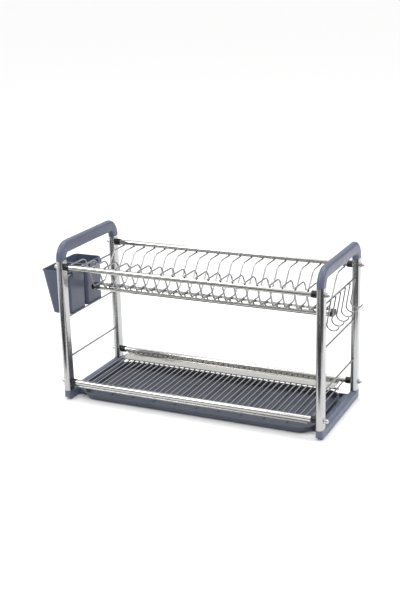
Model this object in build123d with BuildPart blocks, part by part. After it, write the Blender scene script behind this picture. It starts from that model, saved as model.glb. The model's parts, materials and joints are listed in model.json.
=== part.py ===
from build123d import *
from math import cos, radians, sin, sqrt
import os

# Two-tier dish drying rack: steel tube frame, plate cradle, bottom shelf,
# drip tray, two hanging cutlery cups and a row of mug hooks.
# Millimetres, +Z up, the rack's front faces -Y. The origin is at the middle of
# the whole rack's footprint, on the worktop.

os.makedirs("parts", exist_ok=True)

# ---- frame ----
frame_length = 566.0          # between upright centres, left to right
frame_depth = 220.0           # between upright centres, front to back
steel_height = 286.0          # visible length of an upright
upright_long = 27.0           # flat-oval tube, front to back
upright_short = 15.0          # flat-oval tube, left to right
upright_wall = 1.2
spigot_clearance = 0.1
spigot_top_depth = 24.0       # how far a handle reaches into its uprights
spigot_bottom_depth = 30.0    # how far a foot reaches into its uprights

# ---- handles ----
handle_bend = 23.5            # centre line radius of a handle's corners
handle_leg = 2.0              # straight length under a corner

# ---- feet ----
foot_height = 22.0
foot_bar_height = 20.0
foot_end_radius = 18.0
foot_top_round = 5.5
foot_bottom_round = 5.0
ledge_width = 24.0            # the tray slides on its inner part
ledge_thickness = 3.0
ledge_top = 4.5
ledge_root = 2.0              # how far the ledge runs into the bar
ledge_front_inset = 28.0      # from the front uprights' centre line
ledge_back_inset = 8.0        # from the rear uprights' centre line
guide_width = 11.5            # raised part of the ledge, beside the tray
guide_top = 10.0
stop_height = 6.0
stop_thickness = 3.0

# ---- round cross tubes, collars and their screws ----
tube_diameter = 12.0
tube_wall = 1.0
top_tube_drop = 14.0          # tube centre below the handle's edge
bottom_tube_rise = 17.0       # tube centre above the foot's edge
collar_wall = 1.2
collar_length = 11.0
collar_end_wall = 2.0
collar_ribs = 4
collar_groove = 0.6
insert_length = 20.0
screw_diameter = 5.0
screw_clearance = 0.2
screw_grip = 16.0             # thread inside the insert
dome_diameter = 9.0
dome_straight = 4.0
washer_diameter = 11.0
washer_thickness = 1.0
fit_clearance = 0.1

# ---- side rungs ----
rung_diameter = 4.0
bottom_rung_rise = 70.5       # rung centre above the foot's edge
top_rung_drop = 39.5          # rung centre below the handle's edge
rung_entry = 3.0              # how far a rung reaches into an upright
rung_clearance = 0.1

# ---- plate cradle ----
plate_pitch = 25.7
plate_wire_diameter = 3.5
front_overhang = 5.0          # wire end past the front tube's centre line
rear_overhang = 5.0
front_knee = 51.0             # from the tube's centre line to the bend's corner
rear_knee = 44.0
cradle_floor_front = 28.0     # flat bottom of a wire, in front of the middle
cradle_floor_back = 20.0      # and behind it
front_knee_radius = 18.0
rear_knee_radius = 20.0
floor_radius = 12.0
cradle_bar_width = 25.0
cradle_bar_height = 13.0
cradle_bar_wall = 1.2
cradle_drop = 71.0            # bar centre below the top tubes' centres
cradle_end_gap = 2.5          # between a cap and the upright beside it
cap_length = 6.0
cap_plug = 10.0

# ---- bottom shelf ----
shelf_pitch = 12.5
shelf_side_gap = 2.0          # least gap between an end wire and a collar
shelf_wire_diameter = 3.0
shelf_wire_overhang = 3.0     # wire end past the rear tube's centre line
shelf_rod_diameter = 4.0
rear_rod_inset = 29.0
rail_side_inset = 4.25        # rail end inside the end shelf wires
rail_width = 36.0
rail_gap = 8.0                # behind the rail, to the rear tube's centre line
rail_crown = 1.8              # height of the rail's two flats above its edges
rail_groove_place = 18.0      # groove between the flats, from the front edge
rail_groove_half = 2.5
rail_thickness = 1.2

# ---- drip tray ----
tray_front_inset = 1.0        # rim, behind the front uprights' centre line
tray_side_gap = 13.5          # rim to the upright beside it
tray_height = 11.0
tray_wall = 1.8
tray_lip = 2.5
tray_draft = 3.0
tray_corner = 30.0
tray_clearance = 0.3
tray_rib_pitch = 50.0
tray_rib_width = 3.0
tray_rib_height = 1.2

# ---- cutlery cups ----
cup_depth_top = 66.0          # outward from the rack, at the rim
cup_depth_bottom = 46.0
cup_room = 53.0               # left free beside the pair, between the uprights
cup_width_taper = 4.0
cup_height = 94.0
cup_rim_rise = 5.5            # rim above the top rung's centre
cup_wall = 2.0
cup_corner = 9.0
cup_lip = 1.5
cup_lip_height = 2.5
cup_gap = 2.0
cups_middle = -14.0           # the pair's middle, along Y
cup_clearance = 0.3
tab_width = 14.0
tab_thickness = 2.0
tab_length = 9.0
tab_margin = 33.0             # cup width less the distance between its tabs
drain_diameter = 5.0
drain_pitch = 13.0

# ---- mug hooks ----
hook_count = 6
hook_room = 41.0              # left free beside the row, between the uprights
hooks_middle = 11.4
hook_diameter = 3.0
hook_radius = 13.0
hook_lean = 10.0              # the stems lean in under the rung
hook_drop = 44.0              # stem length from the weld to the bend
hook_rise = 2.0               # stem end above the weld
hook_tip_angle = 15.0         # the tip below level, seen from the bend's centre

# ---- places worked out from the sizes above ----
wire_radius = plate_wire_diameter / 2
tube_radius = tube_diameter / 2
rung_radius = rung_diameter / 2
hook_wire_radius = hook_diameter / 2
cup_reach = rung_radius + cup_clearance + cup_depth_top + cup_lip
lean = radians(hook_lean)
tip_angle = radians(-hook_tip_angle)
weld_offset = (rung_radius + hook_wire_radius) * cos(lean)
weld_drop = (rung_radius + hook_wire_radius) * sin(lean)
bend_offset = weld_offset - hook_drop * sin(lean) + hook_radius * cos(lean)
bend_drop = weld_drop + hook_drop * cos(lean) + hook_radius * sin(lean)
hook_tip_offset = bend_offset + hook_radius * cos(tip_angle)
hook_reach = hook_tip_offset + hook_wire_radius
middle = (cup_reach - hook_reach) / 2
left = middle - frame_length / 2
right = middle + frame_length / 2
front = -frame_depth / 2
rear = frame_depth / 2
steel_bottom = foot_height
steel_top = foot_height + steel_height
top_tube_z = steel_top - top_tube_drop
bottom_tube_z = steel_bottom + bottom_tube_rise
bottom_rung_z = steel_bottom + bottom_rung_rise
top_rung_z = steel_top - top_rung_drop
rung_heights = (bottom_rung_z, (bottom_rung_z + top_rung_z) / 2, top_rung_z)
cradle_bar_z = top_tube_z - cradle_drop
collar_diameter = tube_diameter + 2 * collar_wall
inner_length = frame_length - upright_short
inner_depth = frame_depth - upright_long
bar_offset = handle_bend + handle_leg
inner_face = upright_short / 2
corners = [(x, y) for x in (left, right) for y in (front, rear)]
tube_places = [(y, z) for y in (front, rear) for z in (bottom_tube_z, top_tube_z)]

# ---- uprights: flat-oval tubes, drilled for the screws and the rungs ----
upright_names = ("upright_front_left", "upright_rear_left")
upright_names += ("upright_front_right", "upright_rear_right")
for upright_name, (x, y) in zip(upright_names, corners):
    inward = 1 if y == front else -1
    with BuildPart() as upright:
        with BuildSketch(Plane.XY.offset(steel_bottom)):
            with Locations((x, y)):
                SlotOverall(upright_long, upright_short, rotation=90)
                offset(amount=-upright_wall, mode=Mode.SUBTRACT)
        extrude(amount=steel_height)
        with BuildSketch(Plane.YZ.offset(x - upright_short)):
            with Locations((y, bottom_tube_z), (y, top_tube_z)):
                Circle(screw_diameter / 2 + screw_clearance)
        extrude(amount=2 * upright_short, mode=Mode.SUBTRACT)
        with BuildSketch(Plane.XZ.offset(-y)):
            with Locations([(x, z) for z in rung_heights]):
                Circle(rung_radius + rung_clearance)
        extrude(amount=-inward * upright_long, mode=Mode.SUBTRACT)
    upright.part.label = upright_name
    export_step(upright.part, f"parts/{upright_name}.step")

# ---- handles: solid U mouldings with a spigot into each upright ----
spigot_long = upright_long - 2 * upright_wall - 2 * spigot_clearance
spigot_short = upright_short - 2 * upright_wall - 2 * spigot_clearance
for handle_name, x in (("left_handle", left), ("right_handle", right)):
    handle_corners = [(x, front, steel_top), (x, front, steel_top + bar_offset)]
    handle_corners += [(x, rear, steel_top + bar_offset), (x, rear, steel_top)]
    with BuildPart() as handle:
        with BuildLine():
            FilletPolyline(*handle_corners, radius=handle_bend)
        with BuildSketch(Plane.XY.offset(steel_top)):
            with Locations((x, front)):
                SlotOverall(upright_long, upright_short, rotation=90)
        sweep()
        with BuildSketch(Plane.XY.offset(steel_top)):
            with Locations((x, front), (x, rear)):
                SlotOverall(spigot_long, spigot_short, rotation=90)
        extrude(amount=-spigot_top_depth)
        with BuildSketch(Plane.YZ.offset(x - upright_short)):
            with Locations((front, top_tube_z), (rear, top_tube_z)):
                Circle(screw_diameter / 2 + screw_clearance)
        extrude(amount=2 * upright_short, mode=Mode.SUBTRACT)
    handle.part.label = handle_name
    export_step(handle.part, f"parts/{handle_name}.step")

# ---- feet: a bar under each side, with spigots and a ledge for the tray ----
foot_length = frame_depth + upright_long
ledge_front = front + ledge_front_inset
ledge_back = rear - ledge_back_inset
ledge_length = ledge_back - ledge_front
ledge_y = (ledge_front + ledge_back) / 2
for foot_name, x, inward in (("left_foot", left, 1), ("right_foot", right, -1)):
    ledge_x = x + inward * (inner_face + (ledge_width - ledge_root) / 2)
    guide_x = x + inward * (inner_face + (guide_width - ledge_root) / 2)
    stop_x = x + inward * (inner_face + ledge_width / 2)
    with BuildPart() as foot:
        with BuildSketch():
            with Locations((x, 0)):
                SlotOverall(foot_length, upright_short, rotation=90)
        extrude(amount=foot_bar_height)
        bar_tops = foot.faces().sort_by(Axis.Z)[-1].edges()
        bar_bottoms = foot.faces().sort_by(Axis.Z)[0].edges()
        fillet(bar_tops, foot_top_round)
        fillet(bar_bottoms, foot_bottom_round)
        with BuildSketch(Plane.XY.offset(foot_bar_height / 2)):
            with Locations((x, front), (x, rear)):
                SlotOverall(upright_long, upright_short, rotation=90)
        extrude(amount=foot_height - foot_bar_height / 2)
        with BuildSketch(Plane.YZ.offset(x - upright_short)) as foot_side:
            with Locations((0, foot_height / 2)):
                Rectangle(foot_length, foot_height)
            fillet(foot_side.vertices().group_by(Axis.Y)[0], foot_end_radius)
        extrude(amount=2 * upright_short, mode=Mode.INTERSECT)
        with BuildSketch(Plane.XY.offset(foot_height)):
            with Locations((x, front), (x, rear)):
                SlotOverall(spigot_long, spigot_short, rotation=90)
        extrude(amount=spigot_bottom_depth)
        with BuildSketch(Plane.YZ.offset(x - upright_short)):
            with Locations((front, bottom_tube_z), (rear, bottom_tube_z)):
                Circle(screw_diameter / 2 + screw_clearance)
        extrude(amount=2 * upright_short, mode=Mode.SUBTRACT)
        with BuildSketch(Plane.XY.offset(ledge_top - ledge_thickness)):
            with Locations((ledge_x, ledge_y)):
                Rectangle(ledge_width + ledge_root, ledge_length)
        extrude(amount=ledge_thickness)
        with BuildSketch(Plane.XY.offset(ledge_top - ledge_thickness)):
            with Locations((guide_x, ledge_y)):
                Rectangle(guide_width + ledge_root, ledge_length)
        extrude(amount=guide_top - ledge_top + ledge_thickness)
        with BuildSketch(Plane.XY.offset(ledge_top)):
            with Locations((stop_x, ledge_back - stop_thickness / 2)):
                Rectangle(ledge_width, stop_thickness)
        extrude(amount=stop_height)
    foot.part.label = foot_name
    export_step(foot.part, f"parts/{foot_name}.step")

# ---- round cross tubes ----
tube_end = frame_length / 2 - inner_face - collar_end_wall
tube_names = ("bottom_front_tube", "top_front_tube")
tube_names += ("bottom_rear_tube", "top_rear_tube")
for tube_name, (y, z) in zip(tube_names, tube_places):
    with BuildPart() as tube:
        with BuildSketch(Plane.YZ.offset(middle - tube_end)):
            with Locations((y, z)):
                Circle(tube_radius)
                Circle(tube_radius - tube_wall, mode=Mode.SUBTRACT)
        extrude(amount=2 * tube_end)
    tube.part.label = tube_name
    export_step(tube.part, f"parts/{tube_name}.step")

# ---- collars, inserts, screws and washers at both ends of every cross tube ----
ends = [(x, side, y, z) for x, side in ((left, 1), (right, -1)) for y, z in tube_places]
with BuildPart() as collars:
    for x, side, y, z in ends:
        face = x + side * inner_face
        with BuildSketch(Plane.YZ.offset(face)):
            with Locations((y, z)):
                Circle(collar_diameter / 2)
                Circle(screw_diameter / 2 + screw_clearance, mode=Mode.SUBTRACT)
        extrude(amount=side * collar_length)
        with BuildSketch(Plane.YZ.offset(face + side * collar_end_wall)):
            with Locations((y, z)):
                Circle(tube_radius + fit_clearance)
        extrude(amount=side * collar_length, mode=Mode.SUBTRACT)
        for rib in range(collar_ribs):
            groove = face + side * (rib + 1) * collar_length / (collar_ribs + 1)
            with BuildSketch(Plane.YZ.offset(groove - collar_groove / 2)):
                with Locations((y, z)):
                    Circle(collar_diameter)
                    Circle(collar_diameter / 2 - collar_groove, mode=Mode.SUBTRACT)
            extrude(amount=collar_groove, mode=Mode.SUBTRACT)
collars.part.label = "tube_collars"
export_step(collars.part, "parts/tube_collars.step")

with BuildPart() as inserts:
    for x, side, y, z in ends:
        start = x + side * (inner_face + collar_end_wall)
        with BuildSketch(Plane.YZ.offset(start)):
            with Locations((y, z)):
                Circle(tube_radius - tube_wall - fit_clearance)
                Circle(screw_diameter / 2 + fit_clearance, mode=Mode.SUBTRACT)
        extrude(amount=side * insert_length)
inserts.part.label = "tube_inserts"
export_step(inserts.part, "parts/tube_inserts.step")

with BuildPart() as washers:
    for x, side, y, z in ends:
        with BuildSketch(Plane.YZ.offset(x - side * inner_face)):
            with Locations((y, z)):
                Circle(washer_diameter / 2)
                Circle(screw_diameter / 2 + screw_clearance, mode=Mode.SUBTRACT)
        extrude(amount=-side * washer_thickness)
washers.part.label = "screw_washers"
export_step(washers.part, "parts/screw_washers.step")

shank_length = washer_thickness + upright_short + collar_end_wall + screw_grip
dome_radius = dome_diameter / 2
with BuildPart() as screws:
    for x, side, y, z in ends:
        seat = x - side * (inner_face + washer_thickness)
        with BuildSketch(Plane.YZ.offset(seat)):
            with Locations((y, z)):
                Circle(screw_diameter / 2)
        extrude(amount=side * shank_length)
        with BuildSketch(Plane.YZ.offset(seat)):
            with Locations((y, z)):
                Circle(dome_radius)
        extrude(amount=-side * dome_straight)
        with Locations((seat - side * dome_straight, y, z)):
            Sphere(dome_radius)
screws.part.label = "dome_screws"
export_step(screws.part, "parts/dome_screws.step")

# ---- side rungs ----
rung_half = frame_depth / 2 - upright_long / 2 + rung_entry
rung_levels = ("bottom", "middle", "top")
for side_name, x in (("left", left), ("right", right)):
    for level, z in zip(rung_levels, rung_heights):
        rung_name = f"{side_name}_{level}_rung"
        with BuildPart() as rung:
            with BuildSketch(Plane.XZ.offset(-rung_half)):
                with Locations((x, z)):
                    Circle(rung_radius)
            extrude(amount=2 * rung_half)
        rung.part.label = rung_name
        export_step(rung.part, f"parts/{rung_name}.step")

# ---- cradle bar: a flat-oval tube lying flat, with a plug cap in each end ----
cradle_bar_length = inner_length - 2 * cap_length - 2 * cradle_end_gap
with BuildPart() as cradle_bar:
    with BuildSketch(Plane.YZ.offset(middle - cradle_bar_length / 2)):
        with Locations((0, cradle_bar_z)):
            SlotOverall(cradle_bar_width, cradle_bar_height)
            offset(amount=-cradle_bar_wall, mode=Mode.SUBTRACT)
    extrude(amount=cradle_bar_length)
cradle_bar.part.label = "cradle_bar"
export_step(cradle_bar.part, "parts/cradle_bar.step")

plug_width = cradle_bar_width - 2 * cradle_bar_wall - 2 * fit_clearance
plug_height = cradle_bar_height - 2 * cradle_bar_wall - 2 * fit_clearance
with BuildPart() as bar_caps:
    for side in (-1, 1):
        end = middle + side * cradle_bar_length / 2
        with BuildSketch(Plane.YZ.offset(end)):
            with Locations((0, cradle_bar_z)):
                SlotOverall(cradle_bar_width, cradle_bar_height)
        extrude(amount=side * cap_length)
        with BuildSketch(Plane.YZ.offset(end)):
            with Locations((0, cradle_bar_z)):
                SlotOverall(plug_width, plug_height)
        extrude(amount=-side * cap_plug)
bar_caps.part.label = "cradle_bar_caps"
export_step(bar_caps.part, "parts/cradle_bar_caps.step")

# ---- plate wires: from over the front tube, across the bar, under the rear tube ----
front_run_z = top_tube_z + tube_radius + wire_radius
rear_run_z = top_tube_z - tube_radius - wire_radius
floor_z = cradle_bar_z + cradle_bar_height / 2 + wire_radius
wire_bends = (front_knee_radius, floor_radius, floor_radius, rear_knee_radius)
plate_room = inner_length - 2 * collar_length - plate_wire_diameter
plate_wire_count = int(plate_room // plate_pitch) + 1
first_plate_x = middle - (plate_wire_count - 1) * plate_pitch / 2
for number in range(1, plate_wire_count + 1):
    x = first_plate_x + (number - 1) * plate_pitch
    wire_corners = [(x, front - front_overhang, front_run_z)]
    wire_corners += [(x, front + front_knee, front_run_z)]
    wire_corners += [(x, -cradle_floor_front, floor_z), (x, cradle_floor_back, floor_z)]
    wire_corners += [(x, rear - rear_knee, rear_run_z)]
    wire_corners += [(x, rear + rear_overhang, rear_run_z)]
    wire_name = f"plate_wire_{number:02d}"
    with BuildPart() as plate_wire:
        with BuildLine():
            FilletPolyline(*wire_corners, radius=wire_bends)
        with BuildSketch(Plane.XZ.offset(front_overhang - front)):
            with Locations((x, front_run_z)):
                Circle(wire_radius)
        sweep()
    plate_wire.part.label = wire_name
    export_step(plate_wire.part, f"parts/{wire_name}.step")

# ---- bottom shelf: wires from a rod under the front tube to under the rear one ----
shelf_wire_radius = shelf_wire_diameter / 2
shelf_rod_radius = shelf_rod_diameter / 2
shelf_wire_z = bottom_tube_z - tube_radius - shelf_wire_radius
rod_forward = sqrt((tube_radius + shelf_rod_radius) ** 2 - (bottom_tube_z - shelf_wire_z) ** 2)
front_rod_y = front - rod_forward
shelf_front = front_rod_y + shelf_rod_radius
shelf_back = rear + shelf_wire_overhang
shelf_room = inner_length - 2 * collar_length - shelf_wire_diameter - 2 * shelf_side_gap
shelf_wire_count = int(shelf_room // shelf_pitch) + 1
shelf_span = (shelf_wire_count - 1) * shelf_pitch
shelf_wire_x = [middle - shelf_span / 2 + i * shelf_pitch for i in range(shelf_wire_count)]
with BuildPart() as shelf_wires:
    with BuildSketch(Plane.XZ.offset(-shelf_back)):
        with Locations([(x, shelf_wire_z) for x in shelf_wire_x]):
            Circle(shelf_wire_radius)
    extrude(amount=shelf_back - shelf_front)
shelf_wires.part.label = "shelf_wires"
export_step(shelf_wires.part, "parts/shelf_wires.step")

shelf_width = shelf_span + shelf_wire_diameter
rear_rod_z = shelf_wire_z - shelf_wire_radius - shelf_rod_radius
rod_places = [("shelf_front_rod", front_rod_y, shelf_wire_z)]
rod_places += [("shelf_rear_rod", rear - rear_rod_inset, rear_rod_z)]
for rod_name, y, z in rod_places:
    with BuildPart() as rod:
        with BuildSketch(Plane.YZ.offset(middle - shelf_width / 2)):
            with Locations((y, z)):
                Circle(shelf_rod_radius)
        extrude(amount=shelf_width)
    rod.part.label = rod_name
    export_step(rod.part, f"parts/{rod_name}.step")

# ---- rear rail: a folded strip lying on the wires in front of the rear tube ----
rail_length = shelf_span - 2 * rail_side_inset
rail_front = rear - rail_gap - rail_width
rail_seat = shelf_wire_z + shelf_wire_radius
groove_y = rail_front + rail_groove_place
rail_under = [(rail_front, rail_seat), (groove_y - rail_groove_half, rail_seat + rail_crown)]
rail_under += [(groove_y, rail_seat), (groove_y + rail_groove_half, rail_seat + rail_crown)]
rail_under += [(rail_front + rail_width, rail_seat + rail_crown)]
rail_over = [(y, z + rail_thickness) for y, z in reversed(rail_under)]
with BuildPart() as rail:
    with BuildSketch(Plane.YZ.offset(middle - rail_length / 2)):
        with BuildLine():
            Polyline(*rail_under, *rail_over, close=True)
        make_face()
    extrude(amount=rail_length)
rail.part.label = "shelf_rear_rail"
export_step(rail.part, "parts/shelf_rear_rail.step")

# ---- drip tray ----
tray_z = ledge_top + tray_clearance
tray_front = front + tray_front_inset
tray_back = ledge_back - stop_thickness - tray_clearance
tray_y = (tray_back + tray_front) / 2
tray_length = tray_back - tray_front
tray_width = inner_length - 2 * tray_side_gap
tray_rib_count = int((tray_width - 3 * tray_corner) // tray_rib_pitch) + 1
body_width = tray_width - 2 * tray_lip
body_length = tray_length - 2 * tray_lip
with BuildPart() as tray:
    for z, inset in ((tray_z, tray_draft), (tray_z + tray_height, 0)):
        ring_width = body_width - 2 * inset
        ring_length = body_length - 2 * inset
        with BuildSketch(Plane.XY.offset(z)):
            with Locations((middle, tray_y)):
                RectangleRounded(ring_width, ring_length, tray_corner - inset)
    loft()
    with BuildSketch(Plane.XY.offset(tray_z + tray_height - tray_wall)):
        with Locations((middle, tray_y)):
            RectangleRounded(tray_width, tray_length, tray_corner + tray_lip)
    extrude(amount=tray_wall)
    for z, inset in ((tray_z + tray_wall, tray_draft), (tray_z + tray_height, 0)):
        grown = inset + tray_wall
        ring_width = body_width - 2 * grown
        ring_length = body_length - 2 * grown
        with BuildSketch(Plane.XY.offset(z)):
            with Locations((middle, tray_y)):
                RectangleRounded(ring_width, ring_length, tray_corner - grown)
    loft(mode=Mode.SUBTRACT)
    with BuildSketch(Plane.XY.offset(tray_z + tray_wall)):
        with Locations((middle, tray_y)):
            with GridLocations(tray_rib_pitch, 0, tray_rib_count, 1):
                SlotOverall(body_length - 2 * tray_corner, tray_rib_width, rotation=90)
    extrude(amount=tray_rib_height)
tray.part.label = "drip_tray"
export_step(tray.part, "parts/drip_tray.step")

# ---- cutlery cups: hung on the left top rung by two tabs each ----
cup_width_top = (inner_depth - cup_gap - cup_room) / 2
cup_width_bottom = cup_width_top - cup_width_taper
cup_rim_z = top_rung_z + cup_rim_rise
cup_back = left - rung_radius - cup_clearance
cup_bottom = cup_rim_z - cup_height
cup_floor = cup_bottom + cup_wall
cup_step = (cup_width_top + cup_gap) / 2
tab_spread = cup_width_top - tab_margin
tab_top = top_rung_z + rung_radius + cup_clearance + tab_thickness
tab_under = tab_top - tab_thickness
tab_inside = left + rung_radius + cup_clearance
tab_end = tab_under - tab_length
tab_outline = [(cup_back, tab_under), (tab_inside, tab_under), (tab_inside, tab_end)]
tab_outline += [(tab_inside + tab_thickness, tab_end), (tab_inside + tab_thickness, tab_top)]
tab_outline += [(cup_back - cup_wall / 2, tab_top), (cup_back - cup_wall / 2, tab_under)]
cup_outside = [(cup_bottom, cup_depth_bottom, cup_width_bottom)]
cup_outside += [(cup_rim_z, cup_depth_top, cup_width_top)]
cup_inside = [(cup_floor, cup_depth_bottom, cup_width_bottom)]
cup_inside += [(cup_rim_z, cup_depth_top, cup_width_top)]
cups = [("front_cutlery_cup", cups_middle - cup_step)]
cups += [("rear_cutlery_cup", cups_middle + cup_step)]
for cup_name, y in cups:
    with BuildPart() as cup:
        for z, depth, width in cup_outside:
            with BuildSketch(Plane.XY.offset(z)):
                with Locations((cup_back - depth / 2, y)):
                    RectangleRounded(depth, width, cup_corner)
        loft()
        fillet(cup.faces().sort_by(Axis.Z)[0].edges(), cup_wall)
        lip_depth = cup_depth_top + 2 * cup_lip
        lip_width = cup_width_top + cup_lip
        with BuildSketch(Plane.XY.offset(cup_rim_z - cup_lip_height)):
            with Locations((cup_back - cup_depth_top / 2, y)):
                RectangleRounded(lip_depth, lip_width, cup_corner + cup_lip)
        extrude(amount=cup_lip_height)
        for z, depth, width in cup_inside:
            hollow_depth = depth - 2 * cup_wall
            hollow_width = width - 2 * cup_wall
            with BuildSketch(Plane.XY.offset(z)):
                with Locations((cup_back - depth / 2, y)):
                    RectangleRounded(hollow_depth, hollow_width, cup_corner - cup_wall)
        loft(mode=Mode.SUBTRACT)
        with BuildSketch(Plane.XY.offset(cup_bottom)):
            with Locations((cup_back - cup_depth_bottom / 2, y)):
                with GridLocations(drain_pitch, drain_pitch, 2, 3):
                    Circle(drain_diameter / 2)
        extrude(amount=cup_wall, mode=Mode.SUBTRACT)
        for tab_y in (y - tab_spread / 2, y + tab_spread / 2):
            with BuildSketch(Plane.XZ.offset(-tab_y - tab_width / 2)):
                with BuildLine():
                    Polyline(*tab_outline, close=True)
                make_face()
            extrude(amount=tab_width)
    cup.part.label = cup_name
    export_step(cup.part, f"parts/{cup_name}.step")

# ---- mug hooks: J-shaped wires welded to the outside of the right top rung ----
hook_pitch = (inner_depth - hook_room) / (hook_count - 1)
stem_down = (-sin(lean), 0, -cos(lean))
top_x = right + weld_offset + hook_rise * sin(lean)
top_z = top_rung_z - weld_drop + hook_rise * cos(lean)
bend_x = right + bend_offset
bend_z = top_rung_z - bend_drop
stem_end_x = bend_x - hook_radius * cos(lean)
stem_end_z = bend_z + hook_radius * sin(lean)
tip_x = bend_x + hook_radius * cos(tip_angle)
tip_z = bend_z + hook_radius * sin(tip_angle)
for number in range(hook_count):
    y = hooks_middle + (number - (hook_count - 1) / 2) * hook_pitch
    stem_end = (stem_end_x, y, stem_end_z)
    hook_name = f"mug_hook_{number + 1}"
    with BuildPart() as hook:
        with BuildLine():
            Line((top_x, y, top_z), stem_end)
            ThreePointArc(stem_end, (bend_x, y, bend_z - hook_radius), (tip_x, y, tip_z))
        with BuildSketch(Plane(origin=(top_x, y, top_z), z_dir=stem_down)):
            Circle(hook_wire_radius)
        sweep()
        with Locations((tip_x, y, tip_z), (top_x, y, top_z)):
            Sphere(hook_wire_radius)
    hook.part.label = hook_name
    export_step(hook.part, f"parts/{hook_name}.step")
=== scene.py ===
import json
from math import cos, pi, radians, sin, tan

import bpy
import numpy as np
from mathutils import Matrix, Vector


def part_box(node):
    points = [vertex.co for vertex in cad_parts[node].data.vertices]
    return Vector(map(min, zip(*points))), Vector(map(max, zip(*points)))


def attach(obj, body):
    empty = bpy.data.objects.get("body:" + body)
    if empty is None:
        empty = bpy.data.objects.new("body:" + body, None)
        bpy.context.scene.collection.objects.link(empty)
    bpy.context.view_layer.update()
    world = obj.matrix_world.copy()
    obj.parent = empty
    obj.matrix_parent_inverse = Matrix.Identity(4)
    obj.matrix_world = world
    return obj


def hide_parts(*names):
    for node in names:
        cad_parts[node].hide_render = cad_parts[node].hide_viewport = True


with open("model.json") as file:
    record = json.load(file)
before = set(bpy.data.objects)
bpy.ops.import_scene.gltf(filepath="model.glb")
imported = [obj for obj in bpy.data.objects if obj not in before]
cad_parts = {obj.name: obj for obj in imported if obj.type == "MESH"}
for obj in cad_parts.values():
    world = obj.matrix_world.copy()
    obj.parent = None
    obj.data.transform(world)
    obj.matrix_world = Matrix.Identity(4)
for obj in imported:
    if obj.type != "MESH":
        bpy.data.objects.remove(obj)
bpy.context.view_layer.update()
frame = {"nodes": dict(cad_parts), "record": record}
nodes = frame["nodes"]
record = frame["record"]
scene = bpy.context.scene
mm = 0.001


# a shader socket that adds its own nodes, so that materials read as sums
class Sock:
    def __init__(self, tree, out):
        self.tree = tree
        self.out = out

    # any node: its type, its settings, then values or links for its sockets by name or number
    @staticmethod
    def make(tree, kind, settings=None, result=0, **sockets):
        node = tree.nodes.new(kind)
        for key, value in (settings or {}).items():
            setattr(node, key, value)
        for key, value in sockets.items():
            socket = node.inputs[int(key[1:])] if key[0] == "_" else node.inputs[key.replace("_", " ")]
            if isinstance(value, Sock):
                tree.links.new(value.out, socket)
            else:
                socket.default_value = value
        return Sock(tree, node.outputs[result])

    def __add__(self, other):
        return Sock.make(self.tree, "ShaderNodeMath", {"operation": "ADD"}, _0=self, _1=other)

    __radd__ = __add__


colourMix = {"data_type": "RGBA", "blend_type": "MIX"}


class Finish:
    # a material with one Principled shader; fixed values go straight on its sockets
    def __init__(self, name, **fixed):
        self.material = bpy.data.materials.new(name)
        self.material.use_nodes = True
        self.tree = self.material.node_tree
        self.shader = self.tree.nodes["Principled BSDF"]
        for key, value in fixed.items():
            self.shader.inputs[key.replace("_", " ")].default_value = value

    def node(self, kind, settings=None, result=0, **sockets):
        return Sock.make(self.tree, kind, settings, result, **sockets)

    def place(self, stretch=(1, 1, 1)):
        coords = self.node("ShaderNodeTexCoord", result="Object")
        return self.node("ShaderNodeMapping", Vector=coords, Scale=stretch)

    def noise(self, scale, detail=3.0, rough=0.55, stretch=(1, 1, 1)):
        values = {"Scale": scale, "Detail": detail, "Roughness": rough}
        return self.node("ShaderNodeTexNoise", Vector=self.place(stretch), **values)

    def ranged(self, value, low, high, newLow, newHigh):
        limits = {"_1": low, "_2": high, "_3": newLow, "_4": newHigh}
        return self.node("ShaderNodeMapRange", {"clamp": True}, _0=value, **limits)

    def mix(self, mask, first, second):
        return self.node("ShaderNodeMix", colourMix, result=2, _0=mask, _6=first, _7=second)

    def bump(self, height, strength, distance):
        return self.node("ShaderNodeBump", Height=height, Strength=strength, Distance=distance)

    def feed(self, **sockets):
        for key, value in sockets.items():
            self.tree.links.new(value.out, self.shader.inputs[key.replace("_", " ")])
        return self.material


def rgb(r, g, b):
    return (r, g, b, 1.0)


# brushed stainless tube: long fine lines up the tube, soft smudges
def satinSteel(name, stretch, base):
    finish = Finish(name, Metallic=1.0, Anisotropic=0.35)
    lines = finish.noise(900, 4.0, 0.6, stretch)
    smudge = finish.noise(14, 4.0, 0.55)
    dusk = tuple(c * 0.93 for c in base)
    colour = finish.mix(finish.ranged(smudge, 0.42, 0.62, 0.0, 1.0), rgb(*base), rgb(*dusk))
    rough = finish.ranged(smudge, 0.3, 0.7, 0.17, 0.25) + finish.ranged(lines, 0.3, 0.7, 0.0, 0.06)
    return finish.feed(Base_Color=colour, Roughness=rough, Normal=finish.bump(lines, 0.08, 0.0004))


# polished stainless: near mirror, with draw lines and water marks
def polishedSteel(name, stretch, base, rough):
    finish = Finish(name, Metallic=1.0)
    lines = finish.noise(700, 3.0, 0.55, stretch)
    marks = finish.noise(38, 5.0, 0.6)
    dusk = tuple(c * 0.95 for c in base)
    colour = finish.mix(finish.ranged(marks, 0.5, 0.66, 0.0, 1.0), rgb(*base), rgb(*dusk))
    worn = finish.ranged(marks, 0.42, 0.68, rough, rough + 0.07) + finish.ranged(lines, 0.35, 0.7, 0.0, 0.03)
    return finish.feed(Base_Color=colour, Roughness=worn, Normal=finish.bump(lines, 0.05, 0.0003))


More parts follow.
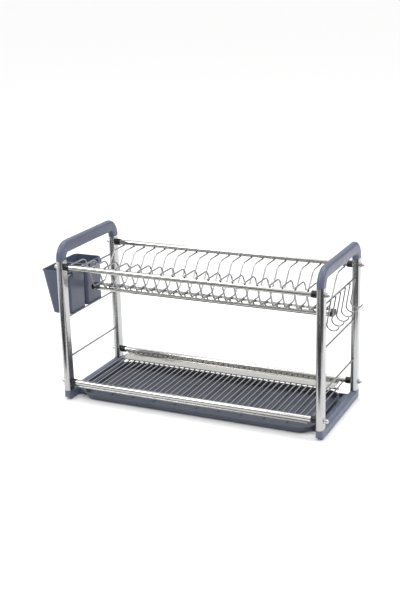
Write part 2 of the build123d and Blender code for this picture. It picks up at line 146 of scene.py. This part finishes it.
# moulded plastic: a fine spark-eroded grain, faint flow marks and handling shine
def mouldedPlastic(name, base, rough, grain, shine):
    finish = Finish(name, IOR=1.49, Specular_IOR_Level=0.5)
    fine = finish.noise(grain, 2.0, 0.5)
    flow = finish.noise(9, 3.0, 0.5, (1.0, 0.35, 1.0))
    rub = finish.noise(42, 5.0, 0.62)
    pale = tuple(min(1.0, c * 1.14 + 0.004) for c in base)
    deep = tuple(c * 0.9 for c in base)
    colour = finish.mix(finish.ranged(flow, 0.35, 0.65, 0.0, 1.0), rgb(*deep), rgb(*base))
    colour = finish.mix(finish.ranged(rub, 0.56, 0.72, 0.0, 0.5), colour, rgb(*pale))
    dull = finish.ranged(rub, 0.35, 0.7, rough, rough - shine) + finish.ranged(fine, 0.3, 0.7, -0.03, 0.03)
    return finish.feed(Base_Color=colour, Roughness=dull, Normal=finish.bump(fine, 0.16, 0.00025))


upLines, sideLines = (1.0, 1.0, 0.01), (0.01, 1.0, 1.0)
finishes = {
    "satin_steel": satinSteel("satinSteel", upLines, (0.45, 0.45, 0.455)),
    "polished_steel": polishedSteel("polishedSteel", sideLines, (0.50, 0.495, 0.475), 0.09),
    "wire_steel": polishedSteel("wireSteel", (1, 1, 1), (0.34, 0.34, 0.345), 0.12),
    "frame_plastic": mouldedPlastic("framePlastic", (0.092, 0.106, 0.162), 0.40, 1900, 0.10),
    # tray: the frame plastic's hue made darker, partly the tray's own deeper tone and partly painted shade
    # from the shelf above
    "tray_plastic": mouldedPlastic("trayPlasticShadeDarkened", (0.062, 0.073, 0.105), 0.42, 1700, 0.08),
    # cup: the frame plastic's hue made darker as painted shade, standing in for the shade inside the cups
    "cup_plastic": mouldedPlastic("cupPlasticShadeDarkened", (0.075, 0.088, 0.136), 0.42, 1800, 0.10),
    "black_plastic": mouldedPlastic("blackPlastic", (0.006, 0.006, 0.0065), 0.35, 2200, 0.08),
    "screw_steel": polishedSteel("screwSteel", (1, 1, 1), (0.55, 0.55, 0.55), 0.16),
    "insert_plastic": mouldedPlastic("insertPlastic", (0.70, 0.69, 0.64), 0.5, 2000, 0.05),
}
slotOf = {part["node"]: part["material_slot"] for part in record["subparts"]}
for name, node in nodes.items():
    node.data.materials.clear()
    node.data.materials.append(finishes[slotOf[name]])
print("finishes on", len(nodes), "nodes")


# a path of straight runs joined by arcs: each corner of radius R becomes
# P(a) = M + R (cos a U + sin a T), from the end of one run to the start of the next
def roundedPath(corners, radii, turns=12):
    corners = np.array(corners, float)
    points = [corners[0]]
    for before, corner, after, radius in zip(corners, corners[1:], corners[2:], radii):
        back = (before - corner) / np.linalg.norm(before - corner)
        ahead = (after - corner) / np.linalg.norm(after - corner)
        half = np.arccos(np.clip(back @ ahead, -1, 1)) / 2
        start = corner + back * radius / tan(half)
        middle = corner + (back + ahead) / np.linalg.norm(back + ahead) * radius / sin(half)
        angles = np.linspace(0, pi - 2 * half, turns)[:, None]
        points.extend(middle + np.cos(angles) * (start - middle) - np.sin(angles) * radius * back)
    points.append(corners[-1])
    return np.array(points)


# the same path at even steps, with its length so far
def evenSteps(path, step):
    lengths = np.concatenate([[0], np.cumsum(np.linalg.norm(np.diff(path, axis=0), axis=1))])
    places = np.linspace(0, lengths[-1], max(int(lengths[-1] / step), 4))
    return np.stack([np.interp(places, lengths, path[:, k]) for k in range(3)], 1), places


# rings of points joined into one closed skin, with a point at each end
def skin(name, rings, firstPole, lastPole):
    count, around = rings.shape[:2]
    points = np.concatenate([rings.reshape(-1, 3), [firstPole, lastPole]])
    u, v = np.meshgrid(np.arange(count - 1), np.arange(around), indexing="ij")
    nextV = (v + 1) % around
    here, ahead = u * around, (u + 1) * around
    quads = np.stack([here + v, here + nextV, ahead + nextV, ahead + v], -1)
    turn = np.arange(around)
    following = (turn + 1) % around
    tail = (count - 1) * around
    first = np.stack([np.full(around, count * around), following, turn], -1)
    last = np.stack([np.full(around, count * around + 1), tail + turn, tail + following], -1)
    mesh = bpy.data.meshes.new(name)
    mesh.from_pydata(points.tolist(), [], quads.reshape(-1, 4).tolist() + first.tolist() + last.tolist())
    mesh.polygons.foreach_set("use_smooth", np.ones(len(mesh.polygons), bool))
    mesh.update()
    piece = bpy.data.objects.new(name, mesh)
    scene.collection.objects.link(piece)
    return piece


# direction along a path and the two directions across it, for a path in a plane
def axesAlong(path, across):
    along = np.gradient(path, axis=0)
    along /= np.linalg.norm(along, axis=1)[:, None]
    across = np.broadcast_to(np.array(across, float), along.shape)
    return along, np.cross(across, along), across


# round wire along a path: P(s, v) = C(s) + r(s) (cos v N + sin v B), with
# r(s) = R sqrt(1 - (1 - s/R)^2) at the ends and a low weld bead R w exp(-((s - s0)/b)^2) at each weld
def wirePiece(name, corners, radii, across, settings, welds=()):
    radius = settings["radius"]
    path, places = evenSteps(roundedPath(corners, radii), settings["step"])
    nose = settings["nose"]
    fromEnd = np.clip(np.minimum(places, places[-1] - places) / nose, 0, 1)
    size = radius * (1 - settings["blunt"] * (1 - np.sqrt(1 - (1 - fromEnd) ** 2)))
    for weld in welds:
        apart = ((path - weld) ** 2).sum(1)
        size = size + radius * settings["bead"] * np.exp(-apart / settings["beadReach"] ** 2)
    along, normal, across = axesAlong(path, across)
    v = np.linspace(0, 2 * pi, settings["around"], endpoint=False)[None, :, None]
    spokes = np.cos(v) * normal[:, None] + np.sin(v) * across[:, None]
    rings = path[:, None] + size[:, None, None] * spokes
    return skin(name, rings, path[0], path[-1])


def dress(piece, nodeName, body):
    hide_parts(nodeName)
    piece.data.materials.append(finishes[slotOf[nodeName]])
    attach(piece, body)


# plate wires: from over the front tube, down to the bar, up and under the rear tube
frontTubeLow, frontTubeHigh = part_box("top_front_tube")
rearTubeLow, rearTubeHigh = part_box("top_rear_tube")
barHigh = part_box("cradle_bar")[1]
plateWire = {"radius": 1.75 * mm, "step": 1.6 * mm, "nose": 0.9 * mm, "blunt": 0.55, "around": 16,
             "bead": 0.16, "beadReach": 2.6 * mm}
wireBends = {"front": 18 * mm, "floor": 12 * mm, "rear": 20 * mm, "frontKnee": 51 * mm,
             "rearKnee": 44 * mm, "floorFront": -28 * mm, "floorBack": 20 * mm, "barWeld": 4 * mm}
frontLine = (frontTubeLow.y + frontTubeHigh.y) / 2
rearLine = (rearTubeLow.y + rearTubeHigh.y) / 2
wireNames = sorted(name for name in nodes if name.startswith("plate_wire_"))
for name in wireNames:
    low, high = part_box(name)
    x = (low.x + high.x) / 2
    overZ = high.z - plateWire["radius"]
    floorZ = barHigh.z + plateWire["radius"]
    underZ = rearTubeLow.z - plateWire["radius"]
    corners = [(x, low.y, overZ), (x, frontLine + wireBends["frontKnee"], overZ)]
    corners += [(x, wireBends["floorFront"], floorZ), (x, wireBends["floorBack"], floorZ)]
    corners += [(x, rearLine - wireBends["rearKnee"], underZ), (x, high.y, underZ)]
    bends = (wireBends["front"], wireBends["floor"], wireBends["floor"], wireBends["rear"])
    joints = [(x, frontLine, overZ), (x, rearLine, underZ)]
    joints += [(x, y, floorZ) for y in (-wireBends["barWeld"], wireBends["barWeld"])]
    wire = wirePiece(name + "_wire", corners, bends, (1, 0, 0), plateWire, joints)
    dress(wire, name, "frame")
print("plate wires", len(wireNames))

# mug hooks: a leaning stem welded outside the rung, then an open bend
hookWire = {"radius": 1.5 * mm, "step": 1.2 * mm, "nose": 1.3 * mm, "blunt": 0.9, "around": 14,
            "bead": 0.2, "beadReach": 2.4 * mm}
hookBend = {"radius": 13 * mm, "tip": radians(-15), "lean": radians(10), "offset": 3.5 * mm,
            "rise": 2 * mm, "points": 40, "joinRadius": 0.01 * mm}
rungLow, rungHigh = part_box("right_top_rung")
rungX, rungZ = (rungLow.x + rungHigh.x) / 2, (rungLow.z + rungHigh.z) / 2
hookNames = sorted(name for name in nodes if name.startswith("mug_hook_"))
for name in hookNames:
    low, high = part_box(name)
    y = (low.y + high.y) / 2
    lean, radius = hookBend["lean"], hookBend["radius"]
    centreX = high.x - hookWire["radius"] - radius * cos(hookBend["tip"])
    centreZ = low.z + hookWire["radius"] + radius
    weld = np.array([rungX + hookBend["offset"] * cos(lean), y, rungZ - hookBend["offset"] * sin(lean)])
    top = weld + hookBend["rise"] * np.array([sin(lean), 0, cos(lean)])
    angles = np.linspace(pi + lean, 2 * pi + hookBend["tip"], hookBend["points"])
    bendX, bendZ = centreX + radius * np.cos(angles), centreZ + radius * np.sin(angles)
    corners = np.concatenate([[top], np.stack([bendX, np.full_like(angles, y), bendZ], 1)])
    bends = [hookBend["joinRadius"]] * (len(corners) - 2)
    hook = wirePiece(name + "_wire", corners, bends, (0, 1, 0), hookWire, [weld])
    dress(hook, name, "frame")
print("mug hooks", len(hookNames))

# handles: a flat-oval section carried round a U, with a small cut-back where it meets each upright
# P(s, v) = C(s) + k(s) ((c(v) f + r cos v) N + r sin v B), c = 1 ahead of the middle and -1 behind it
grip = {"long": 27 * mm, "short": 15 * mm, "bend": 23.5 * mm, "cutBack": 0.028, "cutReach": 0.9 * mm,
        "bendPoints": 24, "around": 48, "step": 1.5 * mm}
for side in ("left", "right"):
    name = side + "_handle"
    low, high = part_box(name)
    x = (low.x + high.x) / 2
    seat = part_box("upright_front_" + side)[1].z
    halfLong = grip["long"] / 2
    frontY, rearY, topZ = low.y + halfLong, high.y - halfLong, high.z - halfLong
    corners = [(x, frontY, seat), (x, frontY, topZ), (x, rearY, topZ), (x, rearY, seat)]
    route = roundedPath(corners, [grip["bend"], grip["bend"]], grip["bendPoints"])
    path, places = evenSteps(route, grip["step"])
    along, normal, across = axesAlong(path, (1, 0, 0))
    ends = np.exp(-places / grip["cutReach"]) + np.exp(-(places[-1] - places) / grip["cutReach"])
    scale = (1 - grip["cutBack"] * ends)[:, None, None]
    v = (np.arange(grip["around"]) + 0.5) / grip["around"] * 2 * pi
    r = grip["short"] / 2
    outward = (np.sign(np.cos(v)) * (halfLong - r) + r * np.cos(v))[None, :, None]
    sideways = (r * np.sin(v))[None, :, None]
    rings = path[:, None] + scale * (outward * normal[:, None] + sideways * across[:, None])
    dress(skin(name + "_grip", rings, path[0], path[-1]), name, "frame")
print("handles")

# floor, flags seen only in the steel, light and camera
studio = {"floorHalf": 40.0, "flagHeight": 1 * mm, "skyStrength": 1.0, "flagShade": (0.02, 0.021, 0.024),
          "flags": [(-0.42, -0.06, -2.2, -0.30), (0.20, 0.62, -2.6, -0.30), (0.80, 2.6, -2.4, 0.55),
                    (-0.9, 1.4, -0.86, -0.34)]}


def flatPanel(name, left, right, front, back, z, finish):
    mesh = bpy.data.meshes.new(name)
    corners = [(left, front, z), (right, front, z), (right, back, z), (left, back, z)]
    mesh.from_pydata(corners, [], [(0, 1, 2, 3)])
    mesh.materials.append(finish)
    panel = bpy.data.objects.new(name, mesh)
    scene.collection.objects.link(panel)
    return panel


floorFinish = Finish("floorFinish", Roughness=0.8, Specular_IOR_Level=0.1)
speck = floorFinish.noise(220, 3.0, 0.5)
paper = floorFinish.mix(speck, rgb(0.88, 0.88, 0.88), rgb(0.91, 0.91, 0.91))
half = studio["floorHalf"]
flatPanel("floor", -half, half, -half, half, 0.0, floorFinish.feed(Base_Color=paper))
flagFinish = Finish("flagFinish", Roughness=0.9, Base_Color=rgb(*studio["flagShade"]))
for number, flag in enumerate(studio["flags"]):
    panel = flatPanel(f"flag{number}", *flag, studio["flagHeight"], flagFinish.material)
    panel.visible_camera = False
    panel.visible_diffuse = False
    panel.visible_shadow = False
    panel.visible_transmission = False

# sky: bright overhead, a dark band low in front, so that round tubes carry a dark line
world = bpy.data.worlds.new("studioSky")
world.use_nodes = True
sky = world.node_tree
look = Sock.make(sky, "ShaderNodeTexCoord", result="Generated")
rise = Sock.make(sky, "ShaderNodeSeparateXYZ", result=2, _0=look)
bandLow = Sock.make(sky, "ShaderNodeMapRange", {"clamp": True}, _0=rise, _1=0.14, _2=0.34, _3=0.0, _4=1.0)
overhead = Sock.make(sky, "ShaderNodeMapRange", {"clamp": True}, _0=rise, _1=0.25, _2=0.9, _3=0.0, _4=1.0)
dark, pale, bright = rgb(0.08, 0.08, 0.09), rgb(0.90, 0.90, 0.91), rgb(1.30, 1.30, 1.29)
low = Sock.make(sky, "ShaderNodeMix", colourMix, result=2, _0=bandLow, _6=dark, _7=pale)
glow = Sock.make(sky, "ShaderNodeMix", colourMix, result=2, _0=overhead, _6=low, _7=bright)
sky.links.new(glow.out, sky.nodes["Background"].inputs["Color"])
sky.nodes["Background"].inputs["Strength"].default_value = studio["skyStrength"]
scene.world = world
scene.view_settings.view_transform = "Standard"


def softbox(name, place, target, size, power):
    lamp = bpy.data.lights.new(name, "AREA")
    lamp.shape = "RECTANGLE"
    lamp.size, lamp.size_y = size
    lamp.energy = power
    holder = bpy.data.objects.new(name, lamp)
    holder.location = place
    holder.rotation_euler = (Vector(target) - Vector(place)).to_track_quat("-Z", "Y").to_euler()
    scene.collection.objects.link(holder)


softbox("keyBox", (-1.6, -1.6, 2.4), (0, 0, 0.2), (1.4, 1.0), 34)
softbox("sideBox", (2.2, 0.4, 1.5), (0, 0, 0.2), (0.8, 1.6), 16)
softbox("topBox", (0.0, 0.6, 2.6), (0, 0, 0.1), (2.4, 1.2), 26)

lens = {"azimuth": 25.33, "elevation": 17.68, "roll": -1.58, "distance": 2.2984, "focal": 66.19,
        "aim": (0.00376, 0.0, 0.2176)}
side, height = radians(lens["azimuth"]), radians(lens["elevation"])
away = Vector((sin(side) * cos(height), -cos(side) * cos(height), sin(height)))
camera = bpy.data.objects.new("camera", bpy.data.cameras.new("camera"))
camera.data.lens = lens["focal"]
camera.data.sensor_width = 36.0
turned = (-away).to_track_quat("-Z", "Y").to_matrix() @ Matrix.Rotation(radians(lens["roll"]), 3, "Z")
camera.matrix_world = Matrix.Translation(Vector(lens["aim"]) + away * lens["distance"]) @ turned.to_4x4()
scene.collection.objects.link(camera)
scene.camera = camera
print("studio ready")
